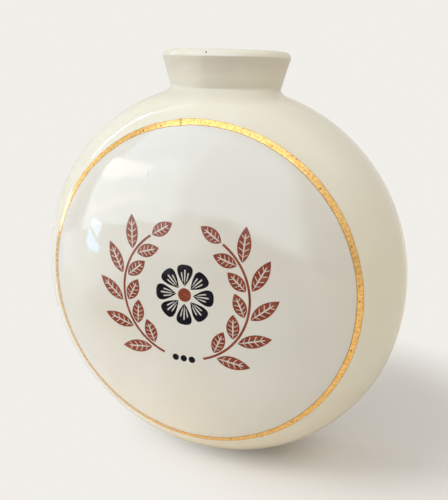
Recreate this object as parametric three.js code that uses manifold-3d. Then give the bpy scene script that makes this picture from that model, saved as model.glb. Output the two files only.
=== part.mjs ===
// A flat-backed ceramic wall vase: a round body with a domed front, a short oval neck, a gilt band round the
// dome and a garland of enamel patches in its middle.
// Millimetres, +Z up. The body is turned about the Y axis: its flat back lies on the plane Y = 0 and its domed
// front faces -Y. The origin is the centre of the back face.

import * as THREE from 'three';
import { mergeVertices } from 'three/addons/utils/BufferGeometryUtils.js';
import Module from 'manifold-3d';

const wasm = await Module();
wasm.setup();

// Body: a pillow-shaped disc. The front is a superellipse, the back edge a quarter of an ellipse.
const BODY_RADIUS = 75; // at the widest plane
const BODY_DEPTH = 54; // flat back to the crown of the dome
const WIDEST_DEPTH = 24; // flat back to the widest plane
const BACK_ROUNDING = 5; // how far the back edge draws in from the widest radius
const DOME_RADIUS_POWER = 3.4;
const DOME_DEPTH_POWER = 1.88;
const WALL = 4;

// Back plate: a slab let into the back of the shell, flush with its flange.
const BACK_FLANGE_WIDTH = 6; // flat ring of the shell outside the slab
const BACK_PLATE_THICKNESS = 4;
const BACK_LEDGE_WIDTH = 3.5; // what the slab beds on
const BACK_LEDGE_THICKNESS = 3;
const HANGING_HOLE_DIAMETER = 9;
const HANGING_HOLE_HEIGHT = 46; // above the middle of the disc

// Neck: an oval trumpet with a round lip, whose foot spreads over the shoulder of the shell.
const LIP_WIDTH = 50.2; // left to right
const LIP_DEPTH = 38; // front to back
const LIP_THICKNESS = 5;
const LIP_SLANT = 20; // degrees off upright where the wall runs into the lip
const LIP_SETBACK = 0.5; // lip in front of the plane of the back
const NECK_RISE = 12; // lip above the top of the disc
const NECK_FLARE = 3.2; // waist to lip on each side
const WAIST_SLANT = 16; // degrees off upright where the wall leaves the waist
const NECK_WALL = 3.5;
const FOOT_SPREAD = 3.2; // waist to the edge of the foot
const FOOT_HEIGHT = 3; // shoulder to waist
const FOOT_EDGE = 0.5; // how far the edge of the foot stands off the shoulder

// Gilt band on the dome.
const BAND_INSET = 12.1; // in from the widest radius to the outer edge of the band
const BAND_WIDTH = 2.5; // measured along the radius
const BAND_THICKNESS = 0.25;

// Enamel garland: two leafy stems round a rosette.
const GARLAND_RADIUS = 25; // middle line of the stems
const STEM_WIDTH = 0.9;
const STEM_FOOT_GAP = 16; // between the stems at the bottom
const STEM_TIP_GAP = 30; // between the stems at the top
const LEAF_WIDTH = 5;
const OUTER_LEAF_LENGTH = 13;
const INNER_LEAF_LENGTH = 9.5;
const LEAF_ANGLE = 38; // degrees from the stem
const LEAF_FULLNESS = [0.25, 0.65]; // share of its length where the curve of a leaf pulls out at base and tip
const ROSETTE_EYE_RADIUS = 2.6;
const PETAL_LENGTH = 8.2;
const PETAL_COUNT = 8;
const PETAL_FULLNESS = [0.45, 1]; // the same for a petal
const PETAL_SWELL = [0.7, 1.25]; // how hard it pulls there, against a leaf
const PETAL_WIDEST = 0.7; // share of its length where a petal is widest
const DOT_RADIUS = 1.3;
const PATCH_SPACING = 0.7; // bare glaze between neighbouring patches
const ENAMEL_THICKNESS = 0.25;

// Clearances.
const JOINT_GAP = 0.3; // luted joints between the clay pieces
const SKIN_GAP = 0.1; // under the gilding and the enamel

// Facets.
const TURN_SEGMENTS = 72;
const DOME_STEPS = 14;
const EDGE_STEPS = 6;
const NECK_SEGMENTS = 48;
const NECK_STEPS = 5;
const LIP_STEPS = 6;
const SEAT_STEPS = 3;
const HOLE_SEGMENTS = 24;
const PATCH_STEPS = 6;

const glaze = new THREE.MeshStandardMaterial({ color: 0xe9e4d2, roughness: 0.14, metalness: 0 });
const gilding = new THREE.MeshStandardMaterial({ color: 0xd9a441, roughness: 0.22, metalness: 1 });
const rustEnamel = new THREE.MeshStandardMaterial({ color: 0x96452f, roughness: 0.3, metalness: 0 });
const navyEnamel = new THREE.MeshStandardMaterial({ color: 0x1a1d30, roughness: 0.25, metalness: 0 });

const DOME_RISE = BODY_DEPTH - WIDEST_DEPTH;
const BACK_EDGE_RADIUS = BODY_RADIUS - BACK_ROUNDING;
const TOP_OF_LIP = BODY_RADIUS + NECK_RISE;

// Closed geometry to solid: shared corners are merged and the empty triangles at the poles left out.
function toSolid(geometry) {
  const bare = geometry.clone();
  bare.deleteAttribute('normal');
  bare.deleteAttribute('uv');
  const merged = mergeVertices(bare);
  const corners = merged.index.array;
  const triVerts = [];
  for (let i = 0; i < corners.length; i += 3) {
    const [a, b, c] = [corners[i], corners[i + 1], corners[i + 2]];
    if (a !== b && b !== c && c !== a) triVerts.push(a, b, c);
  }
  const mesh = new wasm.Mesh({
    numProp: 3,
    vertProperties: merged.attributes.position.array,
    triVerts: new Uint32Array(triVerts),
  });
  return new wasm.Manifold(mesh);
}

function toGeometry(solid) {
  const mesh = solid.getMesh();
  const geometry = new THREE.BufferGeometry();
  geometry.setAttribute('position', new THREE.BufferAttribute(mesh.vertProperties, 3));
  geometry.setIndex(new THREE.BufferAttribute(mesh.triVerts, 1));
  geometry.computeVertexNormals();
  return geometry;
}

function piece(name, geometry, material) {
  const mesh = new THREE.Mesh(geometry, material);
  mesh.name = name;
  return mesh;
}

// Outer surface of the dome at a distance from the disc's axis, as a point (radius, Y) and its outward normal.
function domePoint(radius) {
  const share = radius / BODY_RADIUS;
  const rise = (1 - share ** DOME_RADIUS_POWER) ** (1 / DOME_DEPTH_POWER);
  const point = new THREE.Vector2(radius, -WIDEST_DEPTH - DOME_RISE * rise);
  const normal = new THREE.Vector2(
    (DOME_RADIUS_POWER / BODY_RADIUS) * share ** (DOME_RADIUS_POWER - 1),
    (-DOME_DEPTH_POWER / DOME_RISE) * rise ** (DOME_DEPTH_POWER - 1),
  );
  return { point, normal: normal.normalize() };
}

// Outer surface of the back edge: turn 0 is the widest plane, a quarter turn is the flat back.
function backEdgePoint(turn) {
  const point = new THREE.Vector2(
    BACK_EDGE_RADIUS + BACK_ROUNDING * Math.cos(turn),
    WIDEST_DEPTH * (Math.sin(turn) - 1),
  );
  const normal = new THREE.Vector2(Math.cos(turn) / BACK_ROUNDING, Math.sin(turn) / WIDEST_DEPTH);
  return { point, normal: normal.normalize() };
}

function offset({ point, normal }, distance) {
  return point.clone().addScaledVector(normal, distance);
}

// The outer skin from the crown of the dome to the flat back.
function outerSkin() {
  const skin = [];
  for (let i = 0; i <= DOME_STEPS; i += 1) {
    const turn = ((Math.PI / 2) * i) / DOME_STEPS;
    skin.push(domePoint(BODY_RADIUS * Math.sin(turn) ** (2 / DOME_RADIUS_POWER)));
  }
  for (let i = 1; i <= EDGE_STEPS; i += 1) {
    skin.push(backEdgePoint(((Math.PI / 2) * i) / EDGE_STEPS));
  }
  return skin;
}

// Radius of the disc at a depth, and the height of its top over a point of the plan.
function discRadius(y) {
  if (y < -WIDEST_DEPTH) {
    const rise = (-y - WIDEST_DEPTH) / DOME_RISE;
    return BODY_RADIUS * (1 - rise ** DOME_DEPTH_POWER) ** (1 / DOME_RADIUS_POWER);
  }
  const share = (Math.min(y, 0) + WIDEST_DEPTH) / WIDEST_DEPTH;
  return BACK_EDGE_RADIUS + BACK_ROUNDING * Math.sqrt(1 - share ** 2);
}

function shoulderHeight(x, y) {
  return Math.sqrt(discRadius(y) ** 2 - x ** 2);
}

// Neck plan: every ring is an oval, the same amount slimmer front to back than left to right.
const NECK_SLIMMING = (LIP_WIDTH - LIP_DEPTH) / 2;
const NECK_CENTRE_Y = -LIP_SETBACK - LIP_DEPTH / 2;
const WAIST_RADIUS = LIP_WIDTH / 2 - NECK_FLARE;
const BORE_RADIUS = WAIST_RADIUS - NECK_WALL;
const FOOT_RADIUS = WAIST_RADIUS + FOOT_SPREAD;
const NECK_HEIGHT = TOP_OF_LIP - shoulderHeight(WAIST_RADIUS, NECK_CENTRE_Y);

// Turns a profile (radius, height) about Z, slims it to an oval and hands each point to place.
function ovalLathe(profile, place) {
  const geometry = new THREE.LatheGeometry(profile, NECK_SEGMENTS);
  geometry.rotateX(Math.PI / 2);
  const position = geometry.attributes.position;
  for (let i = 0; i < position.count; i += 1) {
    const radius = Math.hypot(position.getX(i), position.getY(i));
    const slim = Math.max(radius - NECK_SLIMMING, 0) / Math.max(radius, NECK_SLIMMING);
    const y = NECK_CENTRE_Y + position.getY(i) * slim;
    position.setY(i, y);
    position.setZ(i, place(position.getX(i), y, position.getZ(i)));
  }
  return geometry;
}

// The shell: dome, side and back flange, with the ledge for the slab, opened under the neck.
function bodyShell() {
  const skin = outerSkin();
  const seatRadius = BACK_EDGE_RADIUS - BACK_FLANGE_WIDTH;
  const ledgeRadius = seatRadius - BACK_LEDGE_WIDTH;
  const seatY = -BACK_PLATE_THICKNESS - JOINT_GAP;
  const ledgeY = seatY - BACK_LEDGE_THICKNESS;
  const inside = skin.map((spot) => offset(spot, -WALL)).filter((spot) => spot.y < ledgeY);
  inside[0].x = 0;
  const corner = inside[inside.length - 1];
  const profile = [
    ...skin.map((spot) => spot.point),
    new THREE.Vector2(seatRadius, 0),
    new THREE.Vector2(seatRadius, seatY),
    new THREE.Vector2(ledgeRadius, seatY),
    new THREE.Vector2(ledgeRadius, ledgeY),
    new THREE.Vector2(corner.x, ledgeY),
    ...inside.reverse(),
  ];
  const bore = [
    new THREE.Vector2(0, 0),
    new THREE.Vector2(BORE_RADIUS, 0),
    new THREE.Vector2(BORE_RADIUS, TOP_OF_LIP),
    new THREE.Vector2(0, TOP_OF_LIP),
  ];
  const passage = toSolid(ovalLathe(bore, (x, y, z) => z));
  return toGeometry(toSolid(new THREE.LatheGeometry(profile, TURN_SEGMENTS)).subtract(passage));
}

// The slab: a flat disc with a round hole through it for the nail.
function backPlate() {
  const radius = BACK_EDGE_RADIUS - BACK_FLANGE_WIDTH - JOINT_GAP;
  const disc = new THREE.CylinderGeometry(radius, radius, BACK_PLATE_THICKNESS, TURN_SEGMENTS);
  disc.translate(0, -BACK_PLATE_THICKNESS / 2, 0);
  const holeRadius = HANGING_HOLE_DIAMETER / 2;
  const hole = new THREE.CylinderGeometry(holeRadius, holeRadius, BACK_PLATE_THICKNESS * 3, HOLE_SEGMENTS);
  hole.translate(0, 0, HANGING_HOLE_HEIGHT);
  return toGeometry(toSolid(disc).subtract(toSolid(hole)));
}

// The neck: heights in its profile run from the shoulder, 0, to the top of the lip, and are draped so that the
// foot lies on the shoulder all round while the lip stays level.
function neckCollar() {
  const bead = LIP_THICKNESS / 2;
  const beadX = LIP_WIDTH / 2 - bead;
  const beadZ = NECK_HEIGHT - bead;
  const slant = THREE.MathUtils.degToRad(LIP_SLANT);
  const waistLean = Math.tan(THREE.MathUtils.degToRad(WAIST_SLANT));
  const reach = (NECK_HEIGHT - FOOT_HEIGHT) / 3;
  const outerRun = new THREE.Vector2(beadX + bead * Math.cos(slant), beadZ - bead * Math.sin(slant));
  const innerRun = new THREE.Vector2(beadX - bead * Math.cos(slant), beadZ + bead * Math.sin(slant));
  const path = new THREE.Path();
  path.moveTo(FOOT_RADIUS, FOOT_EDGE);
  path.bezierCurveTo(
    WAIST_RADIUS + FOOT_SPREAD / 3, FOOT_EDGE,
    WAIST_RADIUS - ((FOOT_HEIGHT * 2) / 3) * waistLean, FOOT_HEIGHT / 3,
    WAIST_RADIUS, FOOT_HEIGHT,
  );
  path.bezierCurveTo(
    WAIST_RADIUS + reach * waistLean, FOOT_HEIGHT + reach,
    outerRun.x - reach * Math.sin(slant), outerRun.y - reach * Math.cos(slant),
    outerRun.x, outerRun.y,
  );
  const rim = new THREE.Path();
  rim.absarc(beadX, beadZ, bead, -slant, Math.PI - slant, false);
  const throat = new THREE.CubicBezierCurve(
    innerRun,
    new THREE.Vector2(innerRun.x - reach * Math.sin(slant), innerRun.y - reach * Math.cos(slant)),
    new THREE.Vector2(BORE_RADIUS, FOOT_HEIGHT + reach),
    new THREE.Vector2(BORE_RADIUS, FOOT_HEIGHT),
  );
  const profile = [];
  for (let i = 0; i <= SEAT_STEPS; i += 1) {
    profile.push(new THREE.Vector2(THREE.MathUtils.lerp(BORE_RADIUS, FOOT_RADIUS, i / SEAT_STEPS), JOINT_GAP));
  }
  profile.push(...path.getPoints(NECK_STEPS));
  profile.push(...rim.getPoints(LIP_STEPS).slice(1));
  profile.push(...throat.getPoints(NECK_STEPS).slice(1));
  profile.push(profile[0].clone());
  return ovalLathe(profile, (x, y, height) => {
    const shoulder = shoulderHeight(x, y);
    return shoulder + ((TOP_OF_LIP - shoulder) * height) / NECK_HEIGHT;
  });
}

// The gilt band: a thin ring that follows the dome.
function goldBand() {
  const outerRadius = BODY_RADIUS - BAND_INSET;
  const spots = [outerRadius - BAND_WIDTH, outerRadius - BAND_WIDTH / 2, outerRadius].map(domePoint);
  const top = spots.map((spot) => offset(spot, SKIN_GAP + BAND_THICKNESS));
  const seat = spots.map((spot) => offset(spot, SKIN_GAP)).reverse();
  return new THREE.LatheGeometry([...top, ...seat, top[0].clone()], TURN_SEGMENTS);
}

// A flat outline in (X, Z) becomes a thin enamel patch that follows the dome.
function enamelPatch(outline) {
  const geometry = new THREE.ExtrudeGeometry(outline, {
    depth: ENAMEL_THICKNESS,
    bevelEnabled: false,
    steps: 1,
  });
  geometry.rotateX(Math.PI / 2);
  const position = geometry.attributes.position;
  for (let i = 0; i < position.count; i += 1) {
    const surface = domePoint(Math.hypot(position.getX(i), position.getZ(i))).point.y;
    position.setY(i, surface - SKIN_GAP + position.getY(i));
  }
  return geometry;
}

// An outline drawn along +X from the origin, turned to a direction and moved to its base.
function placed(outline, base, direction) {
  const points = outline.getPoints(PATCH_STEPS).slice(0, -1);
  const origin = new THREE.Vector2();
  return new THREE.Shape(points.map((point) => point.rotateAround(origin, direction).add(base)));
}

function leafOutline(length, width) {
  const bulge = (width * 2) / 3;
  const leaf = new THREE.Shape();
  const [base, tip] = LEAF_FULLNESS.map((share) => length * share);
  leaf.bezierCurveTo(base, -bulge, tip, -bulge, length, 0);
  leaf.bezierCurveTo(tip, bulge, base, bulge, 0, 0);
  return leaf;
}

function petalOutline(length, width) {
  const bulge = (width * 2) / 3;
  const petal = new THREE.Shape();
  const [base, tip] = PETAL_FULLNESS.map((share) => length * share);
  const [baseBulge, tipBulge] = PETAL_SWELL.map((swell) => bulge * swell);
  petal.bezierCurveTo(base, -baseBulge, tip, -tipBulge, length, 0);
  petal.bezierCurveTo(tip, tipBulge, base, baseBulge, 0, 0);
  return petal;
}

function polar(radius, angle) {
  return new THREE.Vector2(radius * Math.cos(angle), radius * Math.sin(angle));
}

// The same outline on the other half of the garland.
function mirrored(outline) {
  return new THREE.Shape(outline.getPoints(PATCH_STEPS).map((point) => new THREE.Vector2(-point.x, point.y)));
}

// Outlines of one leafy stem, on the right-hand half of the garland, by name.
function stemOutlines() {
  const start = -Math.PI / 2 + STEM_FOOT_GAP / 2 / GARLAND_RADIUS;
  const end = Math.PI / 2 - STEM_TIP_GAP / 2 / GARLAND_RADIUS;
  const lean = THREE.MathUtils.degToRad(LEAF_ANGLE);
  const pitch = (LEAF_WIDTH + PATCH_SPACING) / Math.sin(lean) / (GARLAND_RADIUS - LEAF_WIDTH / 2);
  const count = Math.floor((end - start) / pitch);
  const outerBase = GARLAND_RADIUS + STEM_WIDTH / 2 + PATCH_SPACING;
  const innerBase = GARLAND_RADIUS - STEM_WIDTH / 2 - PATCH_SPACING;
  const outlines = {};
  const stem = new THREE.Shape();
  stem.absarc(0, 0, GARLAND_RADIUS + STEM_WIDTH / 2, start, end, false);
  stem.absarc(0, 0, GARLAND_RADIUS - STEM_WIDTH / 2, end, start, true);
  outlines.stem = new THREE.Shape(stem.getPoints(PATCH_STEPS * 3));
  for (let i = 0; i < count; i += 1) {
    const angle = start + pitch * (i + 0.5);
    const along = angle + Math.PI / 2;
    const outer = leafOutline(OUTER_LEAF_LENGTH, LEAF_WIDTH);
    const inner = leafOutline(INNER_LEAF_LENGTH, LEAF_WIDTH);
    outlines[`outer_leaf_${i + 1}`] = placed(outer, polar(outerBase, angle), along - lean);
    outlines[`inner_leaf_${i + 1}`] = placed(inner, polar(innerBase, angle), along + lean);
  }
  const tip = end + PATCH_SPACING / GARLAND_RADIUS;
  const tipLeaf = leafOutline(INNER_LEAF_LENGTH, LEAF_WIDTH);
  outlines.tip_leaf = placed(tipLeaf, polar(GARLAND_RADIUS, tip), tip + Math.PI / 2);
  return outlines;
}

function dotOutline(centre, radius) {
  const dot = new THREE.Shape();
  dot.absarc(centre.x, centre.y, radius, 0, Math.PI * 2, false);
  return new THREE.Shape(dot.getPoints(PATCH_STEPS * 2).slice(0, -1));
}

function garland() {
  const group = new THREE.Group();
  for (const [name, outline] of Object.entries(stemOutlines())) {
    group.add(piece(`${name}_right`, enamelPatch(outline), rustEnamel));
    group.add(piece(`${name}_left`, enamelPatch(mirrored(outline)), rustEnamel));
  }
  const petalBase = ROSETTE_EYE_RADIUS + PATCH_SPACING;
  const widest = petalBase + PETAL_LENGTH * PETAL_WIDEST;
  const petalWidth = 2 * widest * Math.sin(Math.PI / PETAL_COUNT) - PATCH_SPACING;
  for (let i = 0; i < PETAL_COUNT; i += 1) {
    const angle = Math.PI / 2 + (Math.PI * 2 * i) / PETAL_COUNT;
    const petal = placed(petalOutline(PETAL_LENGTH, petalWidth), polar(petalBase, angle), angle);
    group.add(piece(`rosette_petal_${i + 1}`, enamelPatch(petal), navyEnamel));
  }
  const eye = dotOutline(new THREE.Vector2(), ROSETTE_EYE_RADIUS);
  group.add(piece('rosette_eye', enamelPatch(eye), rustEnamel));
  const dotPitch = DOT_RADIUS * 2 + PATCH_SPACING;
  for (const [name, place] of [['left', -1], ['middle', 0], ['right', 1]]) {
    const dot = dotOutline(new THREE.Vector2(place * dotPitch, -GARLAND_RADIUS), DOT_RADIUS);
    group.add(piece(`berry_${name}`, enamelPatch(dot), navyEnamel));
  }
  return group;
}

const wallVase = new THREE.Group();
wallVase.name = 'wall_vase';
wallVase.add(piece('body_shell', bodyShell(), glaze));
wallVase.add(piece('back_plate', backPlate(), glaze));
wallVase.add(piece('neck', neckCollar(), glaze));
wallVase.add(piece('gold_band', goldBand(), gilding));
wallVase.add(garland());

export default wallVase;
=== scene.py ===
# %% [markdown]
# # A glazed wall vase
# The object is a cast ceramic vase that hangs on a wall: a round, pillow-shaped body with a flat back, a
# short oval neck, a band of bright gold round the dome and a small printed garland in the middle. The
# solid model gives every piece its size and place. This lesson makes the smooth, glazed surfaces that
# stand for those solids, in the same frame and in metres, and lights them as in a small studio.

# %% Load the solid model
import math

import bmesh
import bpy
import numpy as np
from mathutils import Matrix, Quaternion, Vector


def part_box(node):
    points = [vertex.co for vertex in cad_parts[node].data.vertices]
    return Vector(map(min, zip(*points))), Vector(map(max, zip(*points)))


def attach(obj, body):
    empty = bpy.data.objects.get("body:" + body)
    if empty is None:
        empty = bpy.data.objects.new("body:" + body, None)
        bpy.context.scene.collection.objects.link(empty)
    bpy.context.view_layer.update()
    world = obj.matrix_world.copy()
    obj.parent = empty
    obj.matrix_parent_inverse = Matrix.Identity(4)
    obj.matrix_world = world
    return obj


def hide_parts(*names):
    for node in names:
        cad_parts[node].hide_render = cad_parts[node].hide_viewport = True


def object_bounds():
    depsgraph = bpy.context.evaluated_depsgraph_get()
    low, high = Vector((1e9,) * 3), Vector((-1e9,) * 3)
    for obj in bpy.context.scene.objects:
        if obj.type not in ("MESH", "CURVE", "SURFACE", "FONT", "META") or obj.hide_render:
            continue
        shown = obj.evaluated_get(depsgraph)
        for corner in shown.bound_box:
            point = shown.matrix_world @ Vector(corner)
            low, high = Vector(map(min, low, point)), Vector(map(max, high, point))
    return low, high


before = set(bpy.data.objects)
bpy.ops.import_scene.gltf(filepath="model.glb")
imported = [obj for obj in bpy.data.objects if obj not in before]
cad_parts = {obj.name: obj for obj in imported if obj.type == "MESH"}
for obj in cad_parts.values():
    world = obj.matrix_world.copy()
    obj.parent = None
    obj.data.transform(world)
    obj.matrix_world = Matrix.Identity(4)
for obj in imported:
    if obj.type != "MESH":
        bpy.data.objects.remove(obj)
cad_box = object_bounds()
print("solid model:", len(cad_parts), "nodes, box", [tuple(round(v, 4) for v in c) for c in cad_box])

# %% [markdown]
# ## Sizes
# The large sizes are read from the solids. They could be typed in again, but then a change of the solids
# would leave the glaze behind. The finer ones are the maker's own measures, written in millimetres. Later
# cells add only what their own piece needs.

# %% Driving sizes
MM = 0.001
shell_low, shell_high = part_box("body_shell")
plate_low, plate_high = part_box("back_plate")
BODY_RADIUS = (shell_high.x - shell_low.x) / 2
BODY_DEPTH = -shell_low.y
PLATE_RADIUS = (plate_high.x - plate_low.x) / 2
PLATE_THICKNESS = plate_high.y - plate_low.y
TOP_OF_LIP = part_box("neck")[1].z
WIDEST_DEPTH = 24 * MM
BACK_ROUNDING = 5 * MM
DOME_RADIUS_POWER = 3.4
DOME_DEPTH_POWER = 1.88
WALL = 4 * MM
DOME_RISE = BODY_DEPTH - WIDEST_DEPTH
BACK_EDGE_RADIUS = BODY_RADIUS - BACK_ROUNDING
print(f"body {2 * BODY_RADIUS / MM:.1f} mm across and {BODY_DEPTH / MM:.1f} mm deep,",
      f"lip at {TOP_OF_LIP / MM:.1f} mm")

# %% [markdown]
# ## The camera
# The vase is seen from a little to its right and above, close enough for the perspective to show. A camera
# can be placed by eye, but a fit is surer: a band that is a true circle pins the direction, and its size
# against the outline pins the distance. These numbers come from such a fit to band, outline and lip.

# %% Camera
PICTURE_HEIGHT = 500
FOCAL_PIXELS = 660.9
SENSOR_SIZE = 36
NEAREST_SEEN = 10 * MM
CAMERA_AZIMUTH = math.radians(20.69)
CAMERA_ELEVATION = math.radians(14.44)
CAMERA_ROLL = math.radians(1.88)
CAMERA_DISTANCE = 268.5 * MM
CAMERA_TARGET = Vector((1.96, -20, 9.4)) * MM


def heading(azimuth, elevation):
    """Unit vector from the vase: azimuth 0 is straight out of its front, positive to the right."""
    level = math.cos(elevation)
    return Vector((math.sin(azimuth) * level, -math.cos(azimuth) * level, math.sin(elevation)))


def make_camera():
    back = heading(CAMERA_AZIMUTH, CAMERA_ELEVATION)
    right = Vector((0, 0, 1)).cross(back).normalized()
    up = back.cross(right)
    turn = Matrix.Rotation(CAMERA_ROLL, 3, back)
    axes = Matrix((turn @ right, turn @ up, back)).transposed()
    data = bpy.data.cameras.new("camera")
    data.sensor_width = SENSOR_SIZE
    data.lens = FOCAL_PIXELS / PICTURE_HEIGHT * SENSOR_SIZE
    data.clip_start = NEAREST_SEEN
    camera = bpy.data.objects.new("camera", data)
    bpy.context.collection.objects.link(camera)
    camera.matrix_world = Matrix.Translation(CAMERA_TARGET + back * CAMERA_DISTANCE) @ axes.to_4x4()
    bpy.context.scene.camera = camera
    return camera


camera = make_camera()
camera_place = [round(v / MM, 1) for v in camera.matrix_world.translation]
print("camera at", camera_place, "mm, lens", round(camera.data.lens, 1), "mm")

# %% [markdown]
# ## Writing shaders as sums
# A glaze, a gilding and a print are all built from masks and mixes. Wiring each Math node by hand hides
# the idea, so one small class wraps a socket and lets Python's own operators add the Math nodes. Every
# other node comes from its one method, node, which takes the node's type, its settings and its inputs.


# %% Shader helper
class Wire:
    """One socket of a shader node. Arithmetic on it adds Math nodes, and node adds any other kind."""

    def __init__(self, tree, socket=None):
        self.tree = tree
        self.socket = socket

    def node(self, kind, settings=None, inputs=None, out=0):
        made = self.tree.nodes.new(kind)
        for name, value in (settings or {}).items():
            if name == "stops":
                ramp = made.color_ramp.elements
                while len(ramp) < len(value):
                    ramp.new(1)
                for stop, (place, colour) in zip(ramp, value):
                    stop.position = place
                    stop.color = (*colour, 1)
            else:
                setattr(made, name, value)
        for name, value in (inputs or {}).items():
            if isinstance(value, Wire):
                self.tree.links.new(value.socket, made.inputs[name])
            else:
                made.inputs[name].default_value = value
        return Wire(self.tree, made.outputs[out]) if len(made.outputs) else made

    def maths(self, operation, first, second=0.0):
        return self.node("ShaderNodeMath", {"operation": operation}, {0: first, 1: second})

    def __add__(self, other):
        return self.maths("ADD", self, other)

    def __radd__(self, other):
        return self.maths("ADD", other, self)

    def __sub__(self, other):
        return self.maths("SUBTRACT", self, other)

    def __rsub__(self, other):
        return self.maths("SUBTRACT", other, self)

    def __mul__(self, other):
        return self.maths("MULTIPLY", self, other)

    def __rmul__(self, other):
        return self.maths("MULTIPLY", other, self)

    def __truediv__(self, other):
        return self.maths("DIVIDE", self, other)

    def __pow__(self, other):
        return self.maths("POWER", self, other)

    def __abs__(self):
        return self.maths("ABSOLUTE", self)

    def larger(self, other):
        return self.maths("MAXIMUM", self, other)

    def ramp(self, low, high):
        """0 below low, 1 above high, with a smooth step between them. low may be the larger."""
        if low > high:
            return 1 - self.ramp(high, low)
        limits = {"Value": self, "From Min": low, "From Max": high}
        return self.node("ShaderNodeMapRange", {"interpolation_type": "SMOOTHSTEP"}, limits)

    def mix(self, first, second):
        """A colour that goes from first to second as this value goes from 0 to 1."""
        return self.node("ShaderNodeMix", {"data_type": "RGBA"}, {0: self, 6: first, 7: second}, out=2)

    def axes(self):
        split = self.tree.nodes.new("ShaderNodeSeparateXYZ")
        self.tree.links.new(self.socket, split.inputs[0])
        return [Wire(self.tree, output) for output in split.outputs]

    def noise(self, scale, detail=2.0, roughness=0.5):
        inputs = {"Vector": self, "Scale": scale, "Detail": detail, "Roughness": roughness}
        return self.node("ShaderNodeTexNoise", None, inputs, out="Fac")

    def bump(self, distance, under=None):
        inputs = {"Height": self, "Distance": distance, "Strength": 1.0}
        if under:
            inputs["Normal"] = under
        return self.node("ShaderNodeBump", None, inputs)


print("shader helper ready")


# %% Material helpers
def new_material(name):
    """A material with an empty tree; returns it and a Wire to write the tree with."""
    material = bpy.data.materials.new(name)
    material.use_nodes = True
    material.node_tree.nodes.clear()
    return material, Wire(material.node_tree)


def finish_material(ink, **sockets):
    """Ends a tree with a Principled BSDF: names are its sockets, with _ for a space."""
    inputs = {name.replace("_", " "): value for name, value in sockets.items()}
    surface = ink.node("ShaderNodeBsdfPrincipled", None, inputs)
    ink.node("ShaderNodeOutputMaterial", None, {"Surface": surface})


def rgb(red, green, blue):
    return (red, green, blue, 1)


def away_from(place, point):
    """Distance from a fixed point, as a value over the surface."""
    inputs = {0: place, 1: tuple(point)}
    return place.node("ShaderNodeVectorMath", {"operation": "DISTANCE"}, inputs, out="Value")


def specks(place, scale, edge, chosen, channel):
    """Specks in the middle of some small cells: one channel of each cell's own colour says which."""
    cells = {"Vector": place, "Scale": scale}
    distance = place.node("ShaderNodeTexVoronoi", None, cells, out="Distance")
    lot = place.node("ShaderNodeTexVoronoi", None, cells, out="Color").axes()[channel]
    return distance.ramp(*edge) * lot.ramp(*chosen)


print("material helpers ready")

# %% [markdown]
# ## Marks in the glaze
# The wall of the neck keeps the level rings that a hand leaves on a turning wheel. Two marks are this
# vase's own: a burst bubble on the lip, and a hair that was fired into the face. They could be cut into
# the mesh, but they are finer than its faces, so each is a mask over the surface. A range of heights gives
# the neck, noise that is stretched sideways gives the rings, the distance from one point gives the bubble,
# and the sum of the distances from two points, which is an ellipse so thin that it looks like a line,
# gives the hair.

# %% Marks in the glaze
NECK_FOOT = 67 * MM
NECK_BLEND = 4 * MM
LIP_FOOT = TOP_OF_LIP - 2.4 * MM
LIP_LINE = 0.3 * MM
RING_SQUEEZE = (0.1, 0.1, 1)
RINGS_PER_METRE = 420
PINHOLE_PLACE = Vector((-0.4, -38.1, 85.6)) * MM
PINHOLE_RADIUS = 0.42 * MM
HAIR_TOP = Vector((-16.5, -50.4, 44.6)) * MM
HAIR_FOOT = Vector((-16.9, -51.2, 41.0)) * MM
HAIR_LENGTH = (HAIR_TOP - HAIR_FOOT).length
# A point is on the hair if the way from end to end over it is longer than the hair by less than this.
HAIR_DETOUR = 0.0128 * MM


def neck_wall(z):
    """1 on the wall of the neck, 0 on its lip and on the body."""
    above_foot = z.ramp(NECK_FOOT, NECK_FOOT + NECK_BLEND)
    return above_foot * z.ramp(LIP_FOOT + LIP_LINE, LIP_FOOT - LIP_LINE)


def throwing_rings(place):
    inputs = {0: place, 1: RING_SQUEEZE}
    squeezed = place.node("ShaderNodeVectorMath", {"operation": "MULTIPLY"}, inputs)
    return squeezed.noise(RINGS_PER_METRE)


def burst_bubble(place):
    return away_from(place, PINHOLE_PLACE).ramp(PINHOLE_RADIUS, PINHOLE_RADIUS / 2)


def fired_hair(place):
    detour = away_from(place, HAIR_TOP) + away_from(place, HAIR_FOOT) - HAIR_LENGTH
    return detour.ramp(HAIR_DETOUR, 0)


print(f"lip starts at {LIP_FOOT / MM:.1f} mm, hair is {HAIR_LENGTH / MM:.1f} mm long")
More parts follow.
